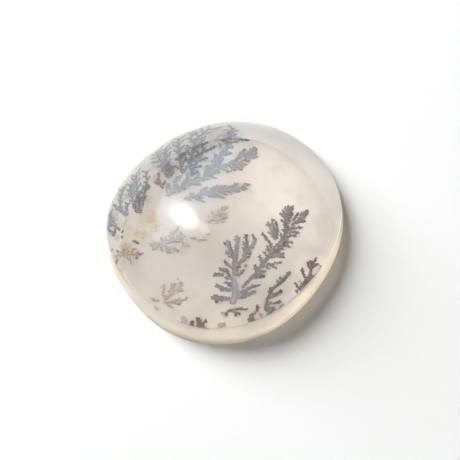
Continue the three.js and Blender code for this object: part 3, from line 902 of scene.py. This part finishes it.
fern("fan_long",
    (pale, [
        (0.36, 0.4, [(-3.2, 2.45), (-2.9, 2.7), (-2.55, 2.85), (-2.2, 3)]),
        (0.21, 0.19, [(-2.35, 2.9), (-2.05, 2.95), (-1.8, 3.1)]),
        (0.19, 0.22, [(-2.15, 3.35), (-1.75, 3.35), (-1.5, 3.3), (-1.25, 3.25)]),
        (0.17, 0.19, [(-2.15, 3.3), (-2.25, 3.75), (-2.25, 4.15)]),
        (0.26, 0.26, [(-2.25, 3.1), (-1.9, 3.55), (-1.6, 3.8), (-1.25, 4.2)]),
        (0.23, 0.24, [(-1.65, 3.75), (-1.4, 3.8), (-1.15, 3.9)]),
        (0.19, 0.23, [(-1.75, 3.8), (-1.8, 4.2), (-1.75, 4.55), (-1.65, 4.9)]),
        (0.22, 0.23, [(-1.45, 4.25), (-1.35, 4.8), (-1.4, 5.25), (-1.55, 5.6)]),
        (0.24, 0.28, [(-1.3, 5.5), (-1.05, 5.7), (-0.8, 5.95)]),
        (0.46, 0.46, [(-1.2, 7.45), (-0.9, 7.65), (-0.65, 7.5)]),
        (0.4, 0.42, [(-1.5, 7.95), (-1.8, 8.15), (-2, 8.35)]),
        (0.35, 0.44, [(-1.65, 7.55), (-2.05, 7.7), (-2.2, 7.7)]),
        (0.3, 0.43, [(-1.1, 4.35), (-0.8, 4.2), (-0.5, 4.15)]),
        (0.24, 0.26, [(-0.6, 4.55), (-0.35, 4.5), (-0.1, 4.45)]),
        (0.23, 0.28, [(-0.5, 4.95), (-0.2, 4.75), (0.1, 4.6), (0.3, 4.7)]),
        (0.23, 0.22, [(-0.25, 5.05), (0.05, 5), (0.3, 4.95)]),
        (0.23, 0.23, [(-0.15, 5.2), (0.2, 5.15), (0.55, 5.15)]),
        (0.3, 0.31, [(0.15, 5.8), (0.5, 5.9), (0.75, 6.05), (1, 6.2)]),
        (0.3, 0.37, [(-1.25, 4.2), (-0.95, 4.5), (-0.65, 4.9), (-0.35, 5.3)]),
        (0.31, 0.33, [(-0.4, 5.25), (-0.2, 5.65), (-0.15, 6.05), (-0.05, 6.35)]),
        (0.29, 0.36, [(0, 5.85), (0.2, 6.15), (0.45, 6.4)]),
        (0.36, 0.5, [(0.4, 6.35), (0.6, 6.7), (0.75, 6.95)]),
        (0.29, 0.29, [(-2.25, 1.55), (-2, 1.75), (-1.7, 1.85), (-1.4, 1.9)]),
        (0.29, 0.33, [(-1.5, 1.9), (-1.15, 2.05), (-0.85, 2.25), (-0.5, 2.35)]),
        (0.33, 0.31, [(-0.55, 2.3), (-0.2, 2.45), (0.15, 2.6), (0.45, 2.6)]),
        (0.16, 0.21, [(-1.95, 1.85), (-1.85, 2.15), (-1.7, 2.35)]),
        (0.18, 0.21, [(-1.5, 1.95), (-1.35, 2.25), (-1.2, 2.45), (-1.05, 2.7)]),
        (0.19, 0.21, [(-1.2, 2.1), (-1, 2.35), (-0.85, 2.6), (-0.7, 2.75)]),
        (0.18, 0.21, [(-0.85, 2.25), (-0.6, 2.55), (-0.45, 2.85)]),
        (0.18, 0.22, [(-0.4, 2.45), (-0.25, 2.7), (-0.1, 2.85)]),
        (0.21, 0.28, [(-0.05, 2.6), (0.1, 2.9), (0.2, 3.15), (0.3, 3.25)]),
        (0.28, 0.32, [(0.35, 2.7), (0.6, 2.9), (0.8, 3.15)]),
        (0.25, 0.28, [(0.7, 3.1), (0.9, 3.4), (1.1, 3.4)]), (0.22, 0.24, [(0.35, 2.55), (0.6, 2.55)]),
        (0.18, 0.18, [(-0.25, 2.35), (0, 2.25), (0.15, 2.2)]),
        (0.18, 0.18, [(-0.7, 2.15), (-0.4, 2.1), (-0.15, 2)]),
        (0.25, 0.23, [(-1.45, 1.8), (-1.1, 1.75), (-0.7, 1.75), (-0.25, 1.7)]),
        (0.17, 0.17, [(-1.25, 1.85), (-0.9, 1.9), (-0.6, 1.85)])]),
    (bluish, [
        *fronds(fan_finger,
            (0.22, 0.36, [(-4.4, 1.3), (-3.7, 1.9), (-3.1, 2.3), (-2.5, 2.8)]),
            (0.2, 0.34, [(-3.2, 0.9), (-2.5, 1.3), (-1.8, 1.7), (-1.2, 2)]),
            (0.15, 0.22, [(-4.6, 0.9), (-4.2, 1.5), (-4.1, 2.2), (-4.1, 2.8)]),
            (0.15, 0.2, [(-3.8, 1.6), (-3.5, 2.2), (-3.3, 2.8), (-3.3, 3.4)]),
            (0.24, 0.48, [(-2.1, 3.2), (-1.9, 4.1), (-1.6, 4.9), (-1.5, 5.8), (-1.3, 6.5), (-1.1, 7.1)])),
        (0.22, 0.25, [(0.5, 6.2), (0.75, 6.4), (0.95, 6.55)]),
        (0.24, 0.28, [(0.65, 2.85), (0.85, 2.95), (1.05, 3.05)]),
        (0.16, 0.2, [(-2.4, 1.15), (-2, 1.05), (-1.55, 0.95)])]),
    (grey, fronds(fan_finger,
        (0.35, 0.5, [(-1.9, 7), (-1.5, 7.3), (-0.9, 7.7)]),
        (0.3, 0.45, [(-1.4, 7.3), (-1.4, 8), (-1.4, 8.9)]))),
    (slate, [
        (0.2, 0.24, [(0, 5.45), (0.3, 5.5), (0.65, 5.55)]),
        (0.2, 0.26, [(-0.05, 6.25), (0, 6.5), (0.1, 6.65)])]))

# %% The far part of the fan
fern("fan_far",
    (grey, fronds(fan_finger,
        (0.36, 0.5, [(-3.1, 3), (-3.1, 3.8), (-3, 4.6), (-2.9, 5.4), (-2.8, 6)]),
        (0.39, 0.62, [(-3.4, 3.7), (-3.5, 4.6), (-3.6, 5.6), (-3.7, 6.5), (-3.6, 7.5), (-3.2, 8.7)]),
        (0.36, 0.53, [(-3.8, 3.1), (-4.2, 4), (-4.5, 5), (-5, 6), (-5.6, 7.4)]),
        (0.45, 0.62, [(-4.6, 2.8), (-5.1, 3.4), (-5.7, 4), (-6.5, 4.8), (-7.3, 5.8)]),
        (0.33, 0.44, [(-4.9, 3.1), (-5.4, 4), (-5.8, 5), (-6.3, 6.2)]),
        (0.39, 0.62, [(-4, 6.4), (-4.3, 7.2), (-4.6, 8.4)]))),
    (slate, [
        (0.3, 0.3, [(-4.75, 2.55), (-5.1, 2.95), (-5.5, 3.4), (-5.7, 3.8)]),
        (0.28, 0.3, [(-4.75, 2.6), (-4.7, 3), (-4.55, 3.25)]),
        *fronds(fan_finger,
            (0.31, 0.43, [(-5, 1.5), (-5.3, 2), (-5.8, 2.4)]))]),
    (bluish, [
        (0.16, 0.2, [(-4.7, 1.35), (-4.6, 1.7), (-4.65, 2.05)]),
        (0.16, 0.2, [(-4.15, 1.2), (-4.1, 1.65), (-4.1, 2.1), (-4.2, 2.5)]),
        (0.16, 0.2, [(-3.7, 1.3), (-3.55, 1.75), (-3.55, 2.2)]),
        (0.2, 0.24, [(-3.95, 3.05), (-3.95, 2.65), (-4, 2.35)])]),
    (brown, [
        (0.22, 0.26, [(-2.95, 6.3), (-2.85, 6.55), (-2.75, 6.7)]),
        (0.2, 0.24, [(-4.95, 3.1), (-5, 3.45), (-5.25, 3.9)])]))

# %% [markdown]
# At the left edge the same feathers are seen along the steep side of the dome, which draws them
# together, so their fingers are thinner and closer.

# %% The fans at the left edge
fern("fans_left",
    (grey, [
        *fronds(edge_finger,
            (0.31, 0.5, [(-7.2, 0.6), (-7.5, 1.4), (-7.9, 2.1), (-8.4, 3.1)]),
            (0.24, 0.36, [(-6.5, 1.3), (-6.6, 2), (-6.9, 2.6), (-7.2, 3.3)]),
            (0.24, 0.36, [(-7.3, -0.4), (-7.7, 0.4), (-8.1, 1.1), (-8.5, 1.9)]),
            (0.18, 0.29, [(-7.9, -1.5), (-7.9, -0.8), (-8.1, -0.1)]),
            (0.17, 0.42, [(-8, -1.4), (-8.7, -0.8), (-9.1, -0.1), (-9.3, 0.7), (-9.5, 1.7)]),
            (0.17, 0.22, [(-8.7, -0.9), (-9.3, -0.7), (-10, -0.2)]),
            (0.24, 0.34, [(-9.2, -2.3), (-9.9, -1.7), (-10.2, -1.1)]),
            (0.18, 0.29, [(-8.2, -3), (-8.7, -2.6), (-9.5, -2.4), (-10, -2.6)]),
            (0.2, 0.26, [(-8.9, -3.6), (-9.2, -3.1), (-9.8, -3.1)])),
        (0.24, 0.24, [(-7.95, -3.45), (-7.75, -3.6)])]),
    (slate, fronds(edge_finger,
        (0.31, 0.5, [(-6.4, -1), (-6.8, -0.5), (-7.1, 0.2), (-7.3, 0.9)]),
        (0.18, 0.36, [(-6.6, -0.5), (-6.5, 0.3), (-6.5, 0.9), (-6.6, 1.6)]))),
    (brown, [
        (0.24, 0.28, [(-7.05, -0.8), (-6.75, -0.8), (-6.4, -0.65)]),
        (0.16, 0.2, [(-6.5, -0.9), (-6.75, -0.3), (-6.85, 0.1)])]),
    (dark, [
        (0.22, 0.28, [(-6.65, -3.75), (-6.3, -3.8), (-5.95, -3.9)]),
        (0.24, 0.28, [(-7.95, -1.4), (-7.9, -0.95)]),
        (0.3, 0.34, [(-8.85, -2.85), (-8.85, -3.2), (-8.95, -3.55)]),
        (0.22, 0.26, [(-8.05, -3.1), (-7.8, -2.9)])]))

# %% [markdown]
# The last piece is a rusty feather at the left, with finer fingers still, and crumbs of rust and brown
# about it.

# %% The rusty sprigs at the left edge
fern("sprigs_left",
    (tan, fronds(sprig_finger,
        (0.18, 0.29, [(-8.4, -5.6), (-7.6, -5.4), (-6.9, -5.2), (-6.2, -5.05), (-5.6, -5.1)]),
        (0.14, 0.18, [(-7.4, -5.3), (-7.25, -4.9), (-7.1, -4.4)]),
        (0.14, 0.18, [(-6.6, -5.1), (-6.5, -4.8), (-6.2, -4.4)]),
        (0.13, 0.16, [(-7, -5.3), (-6.7, -5.6), (-6.3, -5.9)]))),
    (rust, [
        (0.18, 0.2, [(-7.45, -4.95), (-7.35, -4.7)]), (0.18, 0.2, [(-6.95, -5.1), (-6.8, -4.85)]),
        (0.16, 0.18, [(-7.7, -5.3), (-7.6, -5)])]),
    (brown, [
        (0.2, 0.23, [(-8.3, -4.95), (-7.95, -5.15)]), (0.22, 0.25, [(-8.85, -5.15), (-8.8, -4.95)]),
        (0.16, 0.18, [(-6.05, -5.35), (-5.8, -5.45)]), (0.16, 0.18, [(-5.8, -4.95), (-5.5, -4.9)]),
        (0.23, 0.27, [(-8.1, -6.4), (-8.05, -6.15), (-7.95, -5.9)]),
        (0.27, 0.31, [(-8.85, -5.7), (-8.7, -5.95)])]))

# %% [markdown]
# The stone lies on plain white paper. The floor is set a hair below the back, because a glassy skin
# that touches it in the same plane would render black. Pressed fibres leave the paper matt, with tones
# that wander a little over about a millimetre.

# %% The floor
floor_size, floor_gap = 3000.0, 0.02
fibre_scale = 900.0  # patches of about 1 mm

white = new_finish("matt white paper")
paper_place = add(white, "ShaderNodeTexCoord").outputs["Object"]
fibres = add(white, "ShaderNodeTexNoise", Vector=paper_place, Scale=fibre_scale, Detail=3.0)
paper_tone = add(white, "ShaderNodeMix", colour_mix, i0=fibres.outputs["Fac"], i6=linear("#e0e1e1"),
                 i7=linear("#e1e2e3"))
paper_body = add(white, "ShaderNodeBsdfPrincipled", Base_Color=paper_tone.outputs[2], Roughness=0.9,
                 Specular_IOR_Level=0.1)
add(white, "ShaderNodeOutputMaterial", Surface=paper_body.outputs[0])

one_square = [np.array([[0, 1, 2, 3]])]
floor_corners = np.array([(-1, -1, 0), (1, -1, 0), (1, 1, 0), (-1, 1, 0)]) * floor_size / 2
floor = put_in_scene("floor", floor_corners - (0, 0, floor_gap), one_square, [white])
print("floor, m:", floor_size * MM, "wide")

# %% [markdown]
# The dome mirrors the room like a small round mirror, so the lights are placed by where their
# reflections should be seen. Directions are given as the picture shows them and turned into the
# stone's frame with the camera.

# %% Helpers for the lights
view_azimuth, view_elevation = 15.03, 55.0


def towards(azimuth, elevation):
    """Unit vector from the stone, for a direction given in the picture: azimuth 0 to the right and 90
    away from the camera, turned with the camera into the stone's frame."""
    side, raised = np.radians(azimuth + view_azimuth), np.radians(elevation)
    return np.array((np.cos(raised) * np.cos(side), np.cos(raised) * np.sin(side), np.sin(raised)))


def pointing(direction):
    """Rotation that turns an object's -Z along a direction, with its +Y as near to up as can be."""
    return Vector(direction).to_track_quat("-Z", "Y").to_euler()


def round_lamp(name, direction, distance, half_angle, radiance, colour):
    """A round area light that faces the stone and spans twice this angle as seen from it. Its power is
    the radiance wanted times pi times its area. It stays out of the mirror image."""
    lamp = bpy.data.lights.new(name, "AREA")
    lamp.shape = "DISK"
    lamp.size = 2 * distance * np.tan(np.radians(half_angle))
    lamp.energy = radiance * np.pi * lamp.size ** 2 * np.pi / 4
    lamp.color = colour
    light = bpy.data.objects.new(name, lamp)
    light.location = direction * distance
    light.rotation_euler = pointing(-direction)
    light.visible_glossy = False
    bpy.context.collection.objects.link(light)
    print(name, "across, m:", round(lamp.size, 2), "power, W:", round(lamp.energy, 2))
    return light


# %% [markdown]
# A wide window stands at the left. Its mirror image is what shows that the dome is polished: a bluish
# veil with a soft edge where the sky ends, and in it the glaring low sun with a haze about it and a warm
# patch above. An area light has one even colour, so the window is a glowing sheet with these drawn on
# it. Seen from the stone, the sheet's X is 0 at its left side and falls to the right, and its Y is 0 at
# the sill. Only mirror images are taken from it, and it lights nothing, because the lamps below do that.

# %% The sky in the window
sky_colour, sky_strength = (0.47, 0.74, 1.0, 1.0), 1.8
# Side, where the veil starts and where it is full, in metres on the sheet
veil_edges = (("X", 0.0, -0.09), ("X", -2.9, -1.5), ("Y", 0.0, 0.06), ("Y", 2.7, 0.9))
# Middle and half size in metres, tilt in degrees, how many half sizes out it ends, strength and colour
sun = (-0.3, 0.66, 0.042, 0.155, -5, 4.0, 11.0, (1.0, 0.98, 0.96, 1.0))
sun_haze = (-0.32, 0.58, 0.08, 0.24, -3, 3.4, 2.6, (1.0, 0.98, 0.98, 1.0))
warm_patch = (-0.25, 1.8, 0.07, 0.6, -2, 2.2, 3.4, (1.0, 0.75, 0.55, 1.0))

sky = new_finish("bluish sky with a low sun")
sky_place = add(sky, "ShaderNodeTexCoord").outputs["Object"]
sky_sides = add(sky, "ShaderNodeSeparateXYZ", Vector=sky_place)
veil = 1.0
for side, out, full in veil_edges:
    edge = add(sky, "ShaderNodeMapRange", soft_step, Value=sky_sides.outputs[side], From_Min=out,
               From_Max=full)
    veil = add(sky, "ShaderNodeMath", multiply, i0=veil, i1=edge.outputs[0]).outputs[0]
veil = add(sky, "ShaderNodeMath", multiply, i0=veil, i1=sky_strength).outputs[0]
glare = add(sky, "ShaderNodeEmission", Color=sky_colour, Strength=veil)
for x, y, half_width, half_height, tilt, end, strength, colour in (sun, sun_haze, warm_patch):
    centre = add(sky, "ShaderNodeMapping", {"vector_type": "TEXTURE"}, Vector=sky_place, Location=(x, y, 0),
                 Rotation=(0, 0, np.radians(tilt)), Scale=(half_width, half_height, 1))
    away = add(sky, "ShaderNodeVectorMath", {"operation": "LENGTH"}, i0=centre.outputs[0])
    share = add(sky, "ShaderNodeMapRange", soft_step, Value=away.outputs["Value"], From_Min=end,
                From_Max=0.8, To_Max=strength)
    glow = add(sky, "ShaderNodeEmission", Color=colour, Strength=share.outputs[0])
    glare = add(sky, "ShaderNodeAddShader", i0=glare.outputs[0], i1=glow.outputs[0])
add(sky, "ShaderNodeOutputMaterial", Surface=glare.outputs[0])
print(sky.name, len(sky.node_tree.nodes), "nodes")

# %% The window
window_distance, window_width, window_height = 0.6, 3.2, 3.2
window_left, window_sill = 0.17, 0.29
window_direction, to_its_left = towards(160, 0), towards(250, 0)
window_corners = np.array([(-1, 0, 0), (0, 0, 0), (0, 1, 0), (-1, 1, 0)]) * (window_width, window_height, 0)
window = put_in_scene("window", window_corners / MM, one_square, [sky])
window.location = window_direction * window_distance + to_its_left * window_left + (0, 0, window_sill)
window.rotation_euler = pointing(-window_direction)
window.visible_camera = False
window.visible_diffuse = False
window.visible_transmission = False
window.visible_shadow = False
print("window, m:", window_width, "x", window_height)

# %% [markdown]
# The main light is a wide soft lamp behind the window. Two more stand for what a clear skin can't do:
# real milky quartz spreads light all through itself, so its shaded girdle glows. They reach only what is
# seen through the skin, and leave the shadow on the paper alone. The room adds a faint warm light.

# %% The lamps
round_lamp("main_light", towards(144, 36), distance=0.55, half_angle=25, radiance=12.2,
           colour=(0.98, 1.0, 1.0))
for name, direction, radiance in (("glow_behind", towards(150, 50), 0.64),
                                  ("glow_in_front", towards(-24, 22), 1.65)):
    inner_light = round_lamp(name, direction, distance=0.7, half_angle=50, radiance=radiance,
                             colour=(1.0, 0.98, 0.94))
    inner_light.visible_diffuse = False

room_colour, room_strength = (1.0, 0.72, 0.5, 1.0), 0.095
room = bpy.data.worlds.new("room")
bpy.context.scene.world = room
room.use_nodes = True
room.node_tree.nodes["Background"].inputs["Color"].default_value = room_colour
room.node_tree.nodes["Background"].inputs["Strength"].default_value = room_strength

# %% [markdown]
# The camera looks down at 55 degrees, from as far away as a small stone is photographed with a long
# lens. Its lens follows from the width that the picture has at that distance.

# %% The camera
aim = np.array((0.630, 0.320, 0.0)) * MM
camera_distance, frame_width = 350 * MM, 42.847 * MM
sensor_width = 36
look = -towards(-90, view_elevation)
camera = bpy.data.objects.new("camera", bpy.data.cameras.new("camera"))
camera.data.sensor_width = sensor_width
camera.data.lens = sensor_width * camera_distance / frame_width
camera.data.clip_start, camera.data.clip_end = 0.01, 10
camera.location = aim - look * camera_distance
camera.rotation_euler = pointing(look)
bpy.context.collection.objects.link(camera)
bpy.context.scene.camera = camera
bpy.context.scene.view_settings.view_transform = "Standard"
print("lens, mm:", round(camera.data.lens, 1))
